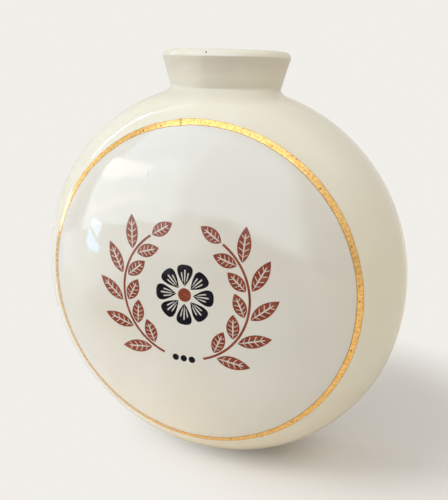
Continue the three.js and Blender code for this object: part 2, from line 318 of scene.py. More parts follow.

# %% [markdown]
# ## The glaze
# The clay is covered with a thick, glossy glaze. The face of the dome is ivory; the shoulder, side, neck
# and back are a yellower cream, and the gold band covers the line where the two meet. Neither is one flat
# colour: both are a little darker where they have gathered, and both carry a few specks of iron. The wall
# of the neck also has painted shade: its cream is darkened all over, most of all under the lip, in bands
# that follow the throwing rings. A flat colour would look like plastic, so slow noise gathers it and small
# cells set the specks. The surface rolls slightly, which makes reflections wander, and that is a very low
# bump.

# %% Glaze colours
IVORY = rgb(0.815, 0.79, 0.715)
IVORY_GATHERED = rgb(0.80, 0.76, 0.665)
CREAM = rgb(0.885, 0.842, 0.695)
CREAM_GATHERED = rgb(0.865, 0.81, 0.64)
# Painted shade: the cream of the neck wall where it lies in shade, darkest under the lip.
CREAM_IN_PAINTED_SHADE = rgb(0.70, 0.64, 0.52)
IRON_SPECK = rgb(0.32, 0.22, 0.12)
PINHOLE = rgb(0.03, 0.025, 0.02)
HAIR_MARK = rgb(0.36, 0.33, 0.27)
FACE_RADIUS = 61.6 * MM
MEETING_WIDTH = 1.2 * MM
GATHERING_SCALE = 22
GATHERING = (0.36, 0.68)
# Painted shade on the neck wall: a share on all of it, more towards the lip, and how strongly the rings band
# it.
WALL_SHADE = 0.35
LIP_SHADE = 0.4
LIP_SHADE_STARTS = LIP_FOOT - 8 * MM
LIP_SHADE_ENDS = LIP_FOOT - 2 * MM
RING_SHADE_LEAST = 0.55
RING_SHADE_RANGE = 0.9
SPECKS_PER_METRE = 210
SPECK_EDGE = (0.055, 0.02)
SPECK_CHOSEN = (0.965, 0.97)
SPECK_STRENGTH = 0.55
HAIR_STRENGTH = 0.6


def glaze_colour(place):
    x, y, z = place.axes()
    radius = (x * x + z * z) ** 0.5
    beyond_face = radius.ramp(FACE_RADIUS - MEETING_WIDTH / 2, FACE_RADIUS + MEETING_WIDTH / 2)
    off_face = beyond_face.larger(y.ramp(-WIDEST_DEPTH, -WIDEST_DEPTH / 2))
    gathered = place.noise(GATHERING_SCALE, detail=3).ramp(*GATHERING)
    # Painted shade on the wall of the neck: some on all of it, most under the lip, banded by the throwing
    # rings.
    shaded = WALL_SHADE + LIP_SHADE * z.ramp(LIP_SHADE_STARTS, LIP_SHADE_ENDS)
    ringed = RING_SHADE_LEAST + RING_SHADE_RANGE * throwing_rings(place)
    painted_neck_shade = neck_wall(z) * shaded * ringed
    cream = painted_neck_shade.mix(gathered.mix(CREAM, CREAM_GATHERED), CREAM_IN_PAINTED_SHADE)
    colour = off_face.mix(gathered.mix(IVORY, IVORY_GATHERED), cream)
    iron = specks(place, SPECKS_PER_METRE, SPECK_EDGE, SPECK_CHOSEN, channel=0)
    colour = (SPECK_STRENGTH * iron).mix(colour, IRON_SPECK)
    colour = (HAIR_STRENGTH * fired_hair(place)).mix(colour, HAIR_MARK)
    return burst_bubble(place).mix(colour, PINHOLE)


print("ivory inside a radius of", round(FACE_RADIUS / MM, 1), "mm, cream outside it")

# %% Glaze
ROLL_SCALE = 30
ROLL_HEIGHT = 1.2 * MM
RING_HEIGHT = 0.13 * MM
PEEL_SCALE = 260
PEEL_HEIGHT = 0.012 * MM
GLAZE_ROUGHNESS = 0.025
GLAZE_DULLING = 0.05
DULL_SCALE = 55
DULL_PLACES = (0.35, 0.75)
GLAZE_IOR = 1.52


def glaze_normal(place):
    """A slow roll, the rings of the neck on it, and a fine orange peel on both."""
    roll = place.noise(ROLL_SCALE, detail=1.6).bump(ROLL_HEIGHT)
    ringed = (throwing_rings(place) * neck_wall(place.axes()[2])).bump(RING_HEIGHT, roll)
    return place.noise(PEEL_SCALE).bump(PEEL_HEIGHT, ringed)


def make_glaze():
    material, ink = new_material("ivory_glaze")
    place = ink.node("ShaderNodeTexCoord", out="Object")
    dull = place.noise(DULL_SCALE, detail=4).ramp(*DULL_PLACES)
    finish_material(
        ink,
        Base_Color=glaze_colour(place),
        Roughness=GLAZE_ROUGHNESS + GLAZE_DULLING * dull,
        IOR=GLAZE_IOR,
        Normal=glaze_normal(place),
    )
    return material


glaze = make_glaze()
print("glaze:", len(glaze.node_tree.nodes), "nodes")

# %% [markdown]
# ## The gilding
# The band is liquid bright gold, brushed on while the vase turned on a wheel. The brush trembles, which
# leaves fine marks across the band; the metal is thin and brown at its edges, most of all on the inside,
# and dust in the kiln leaves brown specks. Where the brush came round to its start there is a fine dark
# line. These could be noise in space, but then they wouldn't follow the brush. So the band carries a map
# whose first axis runs round it and whose second runs across it, and each of these is a sum on them.

# %% Gold
GOLD = rgb(0.86, 0.475, 0.145)
GOLD_PALE = rgb(1.0, 0.685, 0.265)
GOLD_EDGE = rgb(0.20, 0.095, 0.05)
GOLD_SPECK = rgb(0.40, 0.17, 0.06)
TREMBLES_ROUND = 360
TREMBLES_ACROSS = 1.6
BRUSH_TONES = (0.36, 0.64)
BRUSH_HEIGHT = 0.045 * MM
SPECKS_ROUND = 330
SPECKS_ACROSS = 2.2
GOLD_SPECK_EDGE = (0.44, 0.24)
GOLD_SPECK_CHOSEN = (0.86, 0.88)
GOLD_SPECK_STRENGTH = 0.8
INNER_EDGE = (0.0, 0.17)
OUTER_EDGE = (1.0, 0.91)
EDGE_THINNING = 0.8
LAP_PLACE = 0.5
LAP_LINE = 0.0008
LAP_THINNING = 0.6
THIN_METAL_LOSS = 0.6
GOLD_ROUGHNESS = 0.12
BRUSH_ROUGHNESS = 0.14
THIN_ROUGHNESS = 0.2


def make_gilding():
    material, ink = new_material("bright_gold")
    round_it, across, _ = ink.node("ShaderNodeTexCoord", out="UV").axes()
    brush = {0: round_it * TREMBLES_ROUND, 1: across * TREMBLES_ACROSS}
    brushed = ink.node("ShaderNodeCombineXYZ", None, brush).noise(1.0, detail=3, roughness=0.7)
    dust = {0: round_it * SPECKS_ROUND, 1: across * SPECKS_ACROSS}
    dust_place = ink.node("ShaderNodeCombineXYZ", None, dust)
    speck = specks(dust_place, 1.0, GOLD_SPECK_EDGE, GOLD_SPECK_CHOSEN, channel=1)
    edge = 1 - across.ramp(*INNER_EDGE) * across.ramp(*OUTER_EDGE)
    lap = abs(round_it - LAP_PLACE).ramp(LAP_LINE, LAP_LINE / 2)
    thin = (EDGE_THINNING * edge).larger(LAP_THINNING * lap)
    laid = thin.mix(brushed.ramp(*BRUSH_TONES).mix(GOLD, GOLD_PALE), GOLD_EDGE)
    finish_material(
        ink,
        Base_Color=(GOLD_SPECK_STRENGTH * speck).mix(laid, GOLD_SPECK),
        Metallic=1 - THIN_METAL_LOSS * thin,
        Roughness=GOLD_ROUGHNESS + BRUSH_ROUGHNESS * brushed + THIN_ROUGHNESS * thin,
        Normal=brushed.bump(BRUSH_HEIGHT),
    )
    return material


gilding = make_gilding()
print("gilding:", len(gilding.node_tree.nodes), "nodes")

# %% [markdown]
# ## The printed enamels
# The garland is printed in two enamels, rust brown and navy black, and fired on the glaze. A print is
# never quite even: it is thinner in some places, and the engraver leaves fine lines bare for the veins.
# The veins could be gaps in the mesh, but a map that runs along each patch and across it lets one material
# draw the veins of every leaf. Distances along a patch are shares of its length, and those to the side are
# shares of its half width.

# %% Veins
MIDRIB_EDGE = (0.15, 0.07)
MIDRIB_END = (0.84, 0.78)
SIDE_VEINS = 6.0
VEIN_LEAN = 0.75
VEIN_FRONT = (0.24, 0.14)
VEIN_BACK = (0.0, 0.06)
VEIN_REACH = (0.82, 0.7)
FIRST_VEIN = (0.1, 0.2)
LAST_VEIN = (0.86, 0.78)
PETAL_MIDDLE_EDGE = (0.13, 0.06)
PETAL_MIDDLE_END = (0.62, 0.54)
PETAL_OUTER_PLACE = 0.46
PETAL_OUTER_EDGE = (0.12, 0.06)
PETAL_OUTER_START = (0.12, 0.2)
PETAL_OUTER_END = (0.5, 0.42)


def leaf_veins(along, side):
    """A midrib, and side veins that lean towards the tip."""
    midrib = side.ramp(*MIDRIB_EDGE) * along.ramp(*MIDRIB_END)
    comb = along.maths("FRACT", along * SIDE_VEINS - side * VEIN_LEAN)
    ribs = comb.ramp(*VEIN_FRONT) * comb.ramp(*VEIN_BACK)
    ribs = ribs * side.ramp(*VEIN_REACH) * along.ramp(*FIRST_VEIN) * along.ramp(*LAST_VEIN)
    return midrib.larger(ribs)


def petal_veins(along, side):
    """Three short strokes that run out from the base of the petal."""
    middle = side.ramp(*PETAL_MIDDLE_EDGE) * along.ramp(*PETAL_MIDDLE_END)
    outer = abs(side - PETAL_OUTER_PLACE).ramp(*PETAL_OUTER_EDGE)
    outer = outer * along.ramp(*PETAL_OUTER_END) * along.ramp(*PETAL_OUTER_START)
    return middle.larger(outer)


print("veins:", SIDE_VEINS, "to the length of a leaf, fewer where its ends stay plain")

# %% Enamels
RUST = rgb(0.265, 0.052, 0.026)
RUST_THIN = rgb(0.36, 0.10, 0.055)
NAVY = rgb(0.004, 0.0035, 0.009)
NAVY_THIN = rgb(0.012, 0.011, 0.025)
PRINT_GRAIN = 420
THIN_PLACES = (0.42, 0.75)
SMUDGE_GRAIN = 900
VEIN_CLEAR = 0.75
VEIN_SMUDGE = 0.25
ENAMEL_ROUGHNESS = 0.13
THIN_DULLING = 0.1


def make_enamel(name, dense, thin, veins=None):
    material, ink = new_material(name)
    place = ink.node("ShaderNodeTexCoord", out="Object")
    coverage = place.noise(PRINT_GRAIN, detail=4, roughness=0.65).ramp(*THIN_PLACES)
    colour = coverage.mix(dense, thin)
    if veins:
        along, across, _ = ink.node("ShaderNodeTexCoord", out="UV").axes()
        side = abs(across - 0.5) * 2
        bare = veins(along, side) * (VEIN_CLEAR + VEIN_SMUDGE * place.noise(SMUDGE_GRAIN))
        colour = bare.mix(colour, glaze_colour(place))
    finish_material(
        ink,
        Base_Color=colour,
        Roughness=ENAMEL_ROUGHNESS + THIN_DULLING * coverage,
        IOR=GLAZE_IOR,
        Normal=glaze_normal(place),
    )
    return material


rust_leaf = make_enamel("rust_leaf_enamel", RUST, RUST_THIN, leaf_veins)
rust_plain = make_enamel("rust_enamel", RUST, RUST_THIN)
navy_petal = make_enamel("navy_petal_enamel", NAVY, NAVY_THIN, petal_veins)
navy_plain = make_enamel("navy_enamel", NAVY, NAVY_THIN)
print("enamels:", rust_leaf.name, rust_plain.name, navy_petal.name, navy_plain.name)

# %% [markdown]
# ## The form of the body
# A potter would cut one template for the whole body: a curve from the crown of the dome, round the widest
# edge and onto the flat back. It could be a subdivided cage, but a formula is exact, and the same formulas
# place the gold and the print later on. The front is a superellipse, flatter than a ball in the middle and
# rounder at the rim, and the back edge is a quarter of a long ellipse.

# %% Body formulas
NEXT_TO_NOTHING = 1e-9


def dome_y(radius):
    """Y of the outer surface of the dome at a distance from the axis."""
    share = np.clip(np.asarray(radius) / BODY_RADIUS, 0, 1)
    return -WIDEST_DEPTH - DOME_RISE * (1 - share ** DOME_RADIUS_POWER) ** (1 / DOME_DEPTH_POWER)


def dome_normal(points):
    """Outward unit normals of the dome at points near its surface."""
    radius = np.maximum(np.hypot(points[:, 0], points[:, 2]), NEXT_TO_NOTHING)
    rise = np.clip((-points[:, 1] - WIDEST_DEPTH) / DOME_RISE, 0, 1)
    outward = DOME_RADIUS_POWER / BODY_RADIUS * (radius / BODY_RADIUS) ** (DOME_RADIUS_POWER - 1)
    forward = -DOME_DEPTH_POWER / DOME_RISE * rise ** (DOME_DEPTH_POWER - 1)
    normal = np.stack([outward * points[:, 0] / radius, forward, outward * points[:, 2] / radius], -1)
    return normal / np.linalg.norm(normal, axis=1, keepdims=True)


def disc_radius(y):
    """Outer radius of the body at a depth."""
    rise = np.clip((-y - WIDEST_DEPTH) / DOME_RISE, 0, 1)
    front = BODY_RADIUS * (1 - rise ** DOME_DEPTH_POWER) ** (1 / DOME_RADIUS_POWER)
    share = np.clip((y + WIDEST_DEPTH) / WIDEST_DEPTH, 0, 1)
    return np.where(y < -WIDEST_DEPTH, front, BACK_EDGE_RADIUS + BACK_ROUNDING * np.sqrt(1 - share ** 2))


def shoulder_height(x, y):
    """Height of the top of the body over a point of the plan."""
    return np.sqrt(disc_radius(y) ** 2 - x ** 2)


def skin_profile(front_steps, edge_steps, inset=0.0):
    """Points (radius, Y) of the skin from the crown to the flat back, moved inwards by inset."""
    turn = np.linspace(0, np.pi / 2, front_steps + 1)
    radius = BODY_RADIUS * np.sin(turn) ** (2 / DOME_RADIUS_POWER)
    front = np.stack([radius, dome_y(radius)], -1)
    turn = np.linspace(0, np.pi / 2, edge_steps + 1)[1:]
    back_radius = BACK_EDGE_RADIUS + BACK_ROUNDING * np.cos(turn)
    back = np.stack([back_radius, WIDEST_DEPTH * (np.sin(turn) - 1)], -1)
    skin = np.concatenate([front, back])
    slope = np.gradient(skin, axis=0)
    normal = np.stack([slope[:, 1], -slope[:, 0]], -1)
    normal /= np.linalg.norm(normal, axis=1, keepdims=True)
    moved = skin - normal * inset
    moved[0, 0] = 0
    return moved


widest = float(disc_radius(-WIDEST_DEPTH))
print("crown at", round(float(dome_y(0)) / MM, 2), "mm, widest radius", round(widest / MM, 2), "mm")

# %% [markdown]
# ## Turning points into a piece
# Every piece here is a grid of points: rows along a template and columns round it. Blender's own
# primitives and modifiers could start each piece, but a grid keeps the formulas exact. One helper makes
# the quads, joins what coincides, such as the points on an axis, turns the faces outwards and shades them
# smooth.

# %% Grids
SAME_POINT = 1e-8


def grid_faces(rows, columns, close_rows=False, close_columns=True):
    """Quads over a grid of points that is stored row by row."""
    faces = []
    for row in range(rows if close_rows else rows - 1):
        for column in range(columns if close_columns else columns - 1):
            below, beside = (row + 1) % rows, (column + 1) % columns
            faces.append((row * columns + column, row * columns + beside,
                          below * columns + beside, below * columns + column))
    return faces


def turned(profile, segments):
    """A profile (radius, Y) turned about the Y axis, as a grid of points."""
    angle = np.linspace(0, 2 * np.pi, segments, endpoint=False)
    radius, y = profile[:, :1], profile[:, 1:]
    rings = [radius * np.sin(angle), np.repeat(y, segments, 1), radius * np.cos(angle)]
    return np.stack(rings, -1).reshape(-1, 3)


def make_piece(name, points, faces, material, uv=None):
    """A smooth mesh object. uv, if given, holds one pair for each point."""
    mesh = bpy.data.meshes.new(name)
    mesh.from_pydata(points.tolist(), [], faces)
    if uv is not None:
        layer = mesh.uv_layers.new(name="along_across")
        corner = np.empty(len(mesh.loops), dtype=int)
        mesh.loops.foreach_get("vertex_index", corner)
        layer.data.foreach_set("uv", np.asarray(uv)[corner].ravel())
    work = bmesh.new()
    work.from_mesh(mesh)
    bmesh.ops.remove_doubles(work, verts=work.verts, dist=SAME_POINT)
    bmesh.ops.recalc_face_normals(work, faces=work.faces)
    work.to_mesh(mesh)
    work.free()
    mesh.shade_smooth()
    mesh.materials.append(material)
    piece = bpy.data.objects.new(name, mesh)
    bpy.context.collection.objects.link(piece)
    return piece


print("a grid of 3 by 4 points that closes on itself has", len(grid_faces(3, 4, close_rows=True)), "faces")


# %% Piece helpers
def mesh_points(mesh):
    points = np.empty(len(mesh.vertices) * 3)
    mesh.vertices.foreach_get("co", points)
    return points.reshape(-1, 3)


def dress(piece, slot, *nodes):
    """The piece hangs from the root and the named solids that it stands for are hidden; slot is not used."""
    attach(piece, "root")
    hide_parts(*nodes)


def cut(piece, cutter):
    """Cuts one mesh out of another and removes the cutter."""
    step = piece.modifiers.new("cut", "BOOLEAN")
    step.operation = "DIFFERENCE"
    step.solver = "EXACT"
    step.object = cutter
    made = bpy.data.meshes.new_from_object(piece.evaluated_get(bpy.context.evaluated_depsgraph_get()))
    piece.modifiers.clear()
    old, piece.data = piece.data, made
    made.name = piece.name
    bpy.data.meshes.remove(old)
    bpy.data.objects.remove(cutter)


print("piece helpers ready")

# %% [markdown]
# ## The shell
# The shell is the large casting: dome, side and the flat flange round the back. It is hollow, and its wall
# shows at the mouth. A skin with a Solidify modifier would be hollow too, but the ledge that the back
# rests on needs its own corners, so the shell is turned as one closed profile with an outside and an
# inside. The passage under the neck is cut through afterwards, where the neck hides the edge of the cut.

# %% Shell
TURN_SEGMENTS = 288
FRONT_STEPS = 84
EDGE_STEPS = 28
JOINT_ROUND = 0.5 * MM
JOINT_GAP = 0.15 * MM
JOINT_RADIUS = PLATE_RADIUS + JOINT_GAP
LEDGE_WIDTH = 3.5 * MM
LEDGE_THICKNESS = 3 * MM


def rounded_corner(middle, radius, start, steps=5):
    """A quarter of a circle about a middle point, which rounds a corner of a profile."""
    turn = np.linspace(start, start + np.pi / 2, steps)
    return np.stack([middle[0] + radius * np.cos(turn), middle[1] + radius * np.sin(turn)], -1)


def make_shell():
    outside = skin_profile(FRONT_STEPS, EDGE_STEPS)
    seat_y = -PLATE_THICKNESS - JOINT_GAP
    ledge_y = seat_y - LEDGE_THICKNESS
    inside = skin_profile(FRONT_STEPS // 2, EDGE_STEPS // 2, WALL)
    inside = inside[inside[:, 1] < ledge_y][::-1]
    joint = rounded_corner((JOINT_RADIUS + JOINT_ROUND, -JOINT_ROUND), JOINT_ROUND, np.pi / 2)
    ledge = np.array([
        (JOINT_RADIUS, seat_y),
        (JOINT_RADIUS - LEDGE_WIDTH, seat_y),
        (JOINT_RADIUS - LEDGE_WIDTH, ledge_y),
        (inside[0, 0], ledge_y),
    ])
    profile = np.concatenate([outside, joint, ledge, inside])
    points = turned(profile, TURN_SEGMENTS)
    return make_piece("body_shell_glazed", points, grid_faces(len(profile), TURN_SEGMENTS), glaze)


shell = make_shell()
print("shell:", len(shell.data.vertices), "points")

# %% [markdown]
# ## The template of the neck
# The neck is an oval trumpet that grows out of the shoulder. Each of its rings is an oval, the same amount
# slimmer front to back than left to right. A straight loft would meet the curved shoulder with a step. So
# the heights in its template are measured from the shoulder below each point up to the level lip, and its
# foot runs out on the shoulder as wet clay does when a finger smooths it.

# %% Neck sizes
LIP_WIDTH = 50.2 * MM
LIP_DEPTH = 38 * MM
LIP_SETBACK = 0.5 * MM
LIP_THICKNESS = 5 * MM
LIP_SLANT = math.radians(20)
LIP_CREASE = math.radians(5)
WAIST_SLANT = math.radians(16)
NECK_FLARE = 3.2 * MM
NECK_WALL = 3.5 * MM
FOOT_SPREAD = 3.4 * MM
FOOT_HEIGHT = 2.0 * MM
FOOT_SINK = 0.4 * MM
ROOT_WIDTH = 1.5 * MM
NECK_SLIMMING = (LIP_WIDTH - LIP_DEPTH) / 2
NECK_CENTRE_Y = -LIP_SETBACK - LIP_DEPTH / 2
WAIST_RADIUS = LIP_WIDTH / 2 - NECK_FLARE
BORE_RADIUS = WAIST_RADIUS - NECK_WALL
FOOT_RADIUS = WAIST_RADIUS + FOOT_SPREAD
NECK_HEIGHT = TOP_OF_LIP - float(shoulder_height(WAIST_RADIUS, np.float64(NECK_CENTRE_Y)))
print(f"neck {NECK_HEIGHT / MM:.1f} mm high at its sides, bore {2 * BORE_RADIUS / MM:.1f} mm wide")

# %% Neck template
FOOT_STEPS = 22
NECK_WALL_STEPS = 24
LIP_STEPS = 24
BORE_STEPS = 16
LIP_CROWDING = 2
FOOT_PULL = 0.4
WAIST_PULL = 0.65


def bezier(start, first, second, end, steps, crowding=1):
    """Points of a cubic curve without its first one. Crowding above 1 draws them together at its end."""
    t = 1 - np.linspace(1, 0, steps + 1)[1:, None] ** crowding
    start, first, second, end = (np.array(p) for p in (start, first, second, end))
    return (1 - t) ** 3 * start + 3 * (1 - t) ** 2 * t * first + 3 * (1 - t) * t ** 2 * second + t ** 3 * end


def neck_profile():
    """Points (radius, height) from under the shoulder, up the outside, over the lip and down the bore."""
    bead = LIP_THICKNESS / 2
    bead_x, bead_z = LIP_WIDTH / 2 - bead * math.cos(LIP_CREASE), NECK_HEIGHT - bead
    lean, rise = math.sin(LIP_SLANT), math.cos(LIP_SLANT)
    waist_lean = math.tan(WAIST_SLANT)
    reach = (NECK_HEIGHT - FOOT_HEIGHT) / 3
    outer_run = (LIP_WIDTH / 2, bead_z + bead * math.sin(LIP_CREASE))
    inner_run = (bead_x - bead * rise, bead_z + bead * lean)
    foot = (FOOT_RADIUS, 0)
    waist = (WAIST_RADIUS, FOOT_HEIGHT)
    throat = (BORE_RADIUS, FOOT_HEIGHT)
    foot_pull = (WAIST_RADIUS + FOOT_SPREAD * FOOT_PULL, 0)
    waist_pull = (WAIST_RADIUS - FOOT_HEIGHT * WAIST_PULL * waist_lean, FOOT_HEIGHT * (1 - WAIST_PULL))
    turn = np.linspace(LIP_CREASE, math.pi - LIP_SLANT, LIP_STEPS + 1)[1:]
    lip = np.stack([bead_x + bead * np.cos(turn), bead_z + bead * np.sin(turn)], -1)
    root = np.array([
        (BORE_RADIUS, -WALL),
        (BORE_RADIUS + ROOT_WIDTH, -WALL),
        (BORE_RADIUS + ROOT_WIDTH, -2 * FOOT_SINK),
        (FOOT_RADIUS - FOOT_SINK, -FOOT_SINK),
        foot,
    ])
    profile = np.concatenate([
        root,
        bezier(foot, foot_pull, waist_pull, waist, FOOT_STEPS),
        bezier(waist, (WAIST_RADIUS + reach * waist_lean, FOOT_HEIGHT + reach),
               (outer_run[0] - reach * lean, outer_run[1] - reach * rise), outer_run,
               NECK_WALL_STEPS, LIP_CROWDING),
        lip,
        bezier(inner_run, (inner_run[0] - reach * lean, inner_run[1] - reach * rise),
               (BORE_RADIUS, FOOT_HEIGHT + reach), throat, BORE_STEPS),
    ])
    return profile, len(root) - 1


neck_template, foot_row = neck_profile()
print("neck template:", len(neck_template), "points, foot at number", foot_row)

# %% [markdown]
# ## The neck and the passage
# The template is turned about an upright axis, slimmed to an oval and draped on the shoulder. The edge of
# its foot would still catch the light as a thin line, so there it takes the normals of the shoulder below
# it. The same oval, upright and a little wider than the bore, then cuts the passage through the shell.

# %% Neck
NECK_SEGMENTS = 192
SLOPE_STEP = 1e-5


def oval(profile, segments, place):
    """A profile (radius, height) turned about Z and slimmed to an oval; place gives each point its Z."""
    angle = np.linspace(0, 2 * np.pi, segments, endpoint=False)
    radius, height = profile[:, :1], profile[:, 1:]
    x = radius * np.cos(angle)
    y = NECK_CENTRE_Y + (radius - NECK_SLIMMING) * np.sin(angle)
    return np.stack([x, y, place(x, y, np.repeat(height, segments, 1))], -1).reshape(-1, 3)


def draped(x, y, height):
    shoulder = shoulder_height(x, np.minimum(y, 0))
    return shoulder + (TOP_OF_LIP - shoulder) * height / NECK_HEIGHT


def upright(x, y, height):
    return height


def shoulder_normal(points):
    """Outward unit normals of the shoulder under points, from its slopes over a very small step."""
    x, y = points[:, 0], np.minimum(points[:, 1], -SLOPE_STEP)
    along_x = (shoulder_height(x + SLOPE_STEP, y) - shoulder_height(x - SLOPE_STEP, y)) / (2 * SLOPE_STEP)
    along_y = (shoulder_height(x, y + SLOPE_STEP) - shoulder_height(x, y - SLOPE_STEP)) / (2 * SLOPE_STEP)
    normal = np.stack([-along_x, -along_y, np.ones_like(x)], -1)
    return normal / np.linalg.norm(normal, axis=1, keepdims=True)


def make_neck():
    """A zero normal leaves Blender's own in place, so only the edge of the foot takes the shoulder's."""
    points = oval(neck_template, NECK_SEGMENTS, draped)
    faces = grid_faces(len(neck_template), NECK_SEGMENTS, close_rows=True)
    neck = make_piece("neck_glazed", points, faces, glaze)
    normals = np.zeros_like(points)
    edge = slice(foot_row * NECK_SEGMENTS, (foot_row + 1) * NECK_SEGMENTS)
    normals[edge] = shoulder_normal(points[edge])
    neck.data.normals_split_custom_set_from_vertices(normals.tolist())
    return neck


def make_passage():
    wide = BORE_RADIUS + ROOT_WIDTH / 2
    profile = np.array([(NECK_SLIMMING, 0), (wide, 0), (wide, TOP_OF_LIP), (NECK_SLIMMING, TOP_OF_LIP)])
    points = oval(profile, NECK_SEGMENTS, upright)
    return make_piece("passage", points, grid_faces(len(profile), NECK_SEGMENTS), glaze)


neck = make_neck()
cut(shell, make_passage())
dress(shell, "glaze", "body_shell")
dress(neck, "glaze", "neck")
print("neck:", len(neck.data.vertices), "points; shell after the cut:", len(shell.data.vertices))

# %% [markdown]
# ## The back
# The back is a plain slab, bedded in the flange and glazed over, with one round hole near the top for the
# head of a nail. The hole could be cut out of a disc, but rings that flow from the hole to the rim leave
# cleaner faces. The sponge and the glaze soften its edges, so the slab and its hole are rounded where they
# show.

# %% Back plate
HOLE_RADIUS = 4.5 * MM
HOLE_HEIGHT = 46 * MM
PLATE_SEGMENTS = 144
PLATE_STEPS = 24
ROUND_STEPS = 6


def make_back():
    """Rings (X, Z) with a depth: round the edge of the hole, over the face, round the rim, back inside."""
    angle = np.linspace(0, 2 * np.pi, PLATE_SEGMENTS, endpoint=False)
    outwards = np.stack([np.sin(angle), np.cos(angle)], -1)
    rim = outwards * PLATE_RADIUS
    hole = outwards * HOLE_RADIUS + [0, HOLE_HEIGHT]
    hole_flat = hole + outwards * JOINT_ROUND
    rim_flat = rim - outwards * JOINT_ROUND
    turn = np.linspace(0, np.pi / 2, ROUND_STEPS)
    rows = []
    for run, rise in zip(1 - np.cos(turn), 1 - np.sin(turn)):
        rows.append((hole + outwards * JOINT_ROUND * run, -JOINT_ROUND * rise))
    for share in np.linspace(0, 1, PLATE_STEPS)[1:-1]:
        rows.append((hole_flat * (1 - share) + rim_flat * share, 0.0))
    for run, drop in zip(1 - np.sin(turn), 1 - np.cos(turn)):
        rows.append((rim - outwards * JOINT_ROUND * run, -JOINT_ROUND * drop))
    rows.append((rim, -PLATE_THICKNESS))
    for share in np.linspace(1, 0, PLATE_STEPS // 2)[1:]:
        rows.append((hole * (1 - share) + rim * share, -PLATE_THICKNESS))
    rings = [np.stack([ring[:, 0], np.full(len(ring), y), ring[:, 1]], -1) for ring, y in rows]
    faces = grid_faces(len(rows), PLATE_SEGMENTS, close_rows=True)
    return make_piece("back_plate_glazed", np.concatenate(rings), faces, glaze)


back = make_back()
dress(back, "glaze", "back_plate")
print("back:", len(back.data.vertices), "points")

# %% [markdown]
# ## The gold band
# The band lies on the glaze and follows the dome. It is laid by hand against a turning wheel, so it sits a
# hair off centre, its two edges wander, and it is a little wider where the brush came round to its own
# start. It could be a colour in the glaze, but a skin of its own keeps the gold's mirror and its map. A
# few sine waves of different lengths give the wander without any chance in it.

# %% Skins on the dome
SKIN_SINK = 0.03 * MM


def on_dome(points, lift):
    """Points (X, Z) laid on the dome and lifted off it along its normal."""
    laid = np.stack([points[:, 0], dome_y(np.hypot(points[:, 0], points[:, 1])), points[:, 1]], -1)
    return laid + dome_normal(laid) * lift


def make_skin(name, flat, uv, shape, lift, closed, material):
    """A thin skin over a grid (X, Z) of a shape (rows, columns): a top, and an underside in the glaze."""
    rows, columns = shape
    flip = np.arange(rows * columns).reshape(shape)[::-1].ravel()
    points = np.concatenate([on_dome(flat, lift), on_dome(flat, -SKIN_SINK)[flip]])
    faces = grid_faces(rows * 2, columns, close_rows=True, close_columns=closed)
    return make_piece(name, points, faces, material, np.concatenate([uv, uv[flip]]))


def lay_normals(piece):
    """The skin reflects as the dome below it does."""
    normals = dome_normal(mesh_points(piece.data))
    piece.data.normals_split_custom_set_from_vertices(normals.tolist())


print("skins reach", round(SKIN_SINK / MM, 2), "mm into the glaze")

# %% Gold band
BAND_INNER = 60.62 * MM
BAND_OUTER = 62.82 * MM
BAND_OFF_CENTRE = np.array([0.25, -0.12]) * MM
BAND_SEGMENTS = 720
BAND_ROWS = 7
BAND_LIFT = 0.03 * MM
BRUSH_WANDER = 0.05 * MM
BRUSH_LAP = 0.22 * MM
BRUSH_LAP_SPREAD = 0.035
BRUSH_LAP_OUTSIDE = 0.4
BRUSH_LAP_ANGLE = math.radians(-6.7)
INNER_WANDER = 1.0
OUTER_WANDER = 2.3
BRUSH_WAVES = (
    # how many round the band, size, start
    (3, 1.0, 0.3),
    (7, 0.7, 1.9),
    (17, 0.6, 4.1),
    (41, 0.5, 2.2),
    (83, 0.35, 5.0),
)


def wander(angle, shift):
    return sum(size * np.sin(count * angle + start * shift) for count, size, start in BRUSH_WAVES)


def make_band():
    angle = np.linspace(0, 2 * np.pi, BAND_SEGMENTS, endpoint=False)
    lap = np.exp(-((angle - np.pi) / BRUSH_LAP_SPREAD) ** 2) * BRUSH_LAP
    inner = BAND_INNER + BRUSH_WANDER * wander(angle, INNER_WANDER) - lap
    outer = BAND_OUTER + BRUSH_WANDER * wander(angle, OUTER_WANDER) + lap * BRUSH_LAP_OUTSIDE
    across = np.linspace(0, 1, BAND_ROWS)
    radius = inner + (outer - inner) * across[:, None]
    bearing = angle + BRUSH_LAP_ANGLE + np.pi
    ring = np.stack([radius * np.sin(bearing), radius * np.cos(bearing)], -1)
    flat = ring.reshape(-1, 2) + BAND_OFF_CENTRE
    uv = np.stack([np.tile(angle / (2 * np.pi), BAND_ROWS), np.repeat(across, BAND_SEGMENTS)], -1)
    band = make_skin("gold_band_gilt", flat, uv, (BAND_ROWS, BAND_SEGMENTS), BAND_LIFT, True, gilding)
    lay_normals(band)
    return band


band = make_band()
dress(band, "gilding", "gold_band")
print("gold band:", len(band.data.vertices), "points")

# %% [markdown]
# ## Strokes of print
# Two leafy stems curl round a rosette. They could be drawn as one picture on the glaze, but on the real
# vase each leaf, petal, stem and dot is its own patch of enamel, and all are one kind of thing: a stroke
# with a middle line and a width that changes along it. So one function lays a stroke on the dome as a very
# thin skin, and the shapes differ only in their middle lines and widths.

# %% Strokes
PRINT_LIFT = 0.02 * MM
STROKE_ROWS = 9


def close_ends(mesh):
    """Fills the blunt ends of a stroke. One that runs out to a point at both ends has none."""
    work = bmesh.new()
    work.from_mesh(mesh)
    bmesh.ops.holes_fill(work, edges=[edge for edge in work.edges if edge.is_boundary])
    bmesh.ops.recalc_face_normals(work, faces=work.faces)
    work.to_mesh(mesh)
    work.free()
    mesh.shade_smooth()


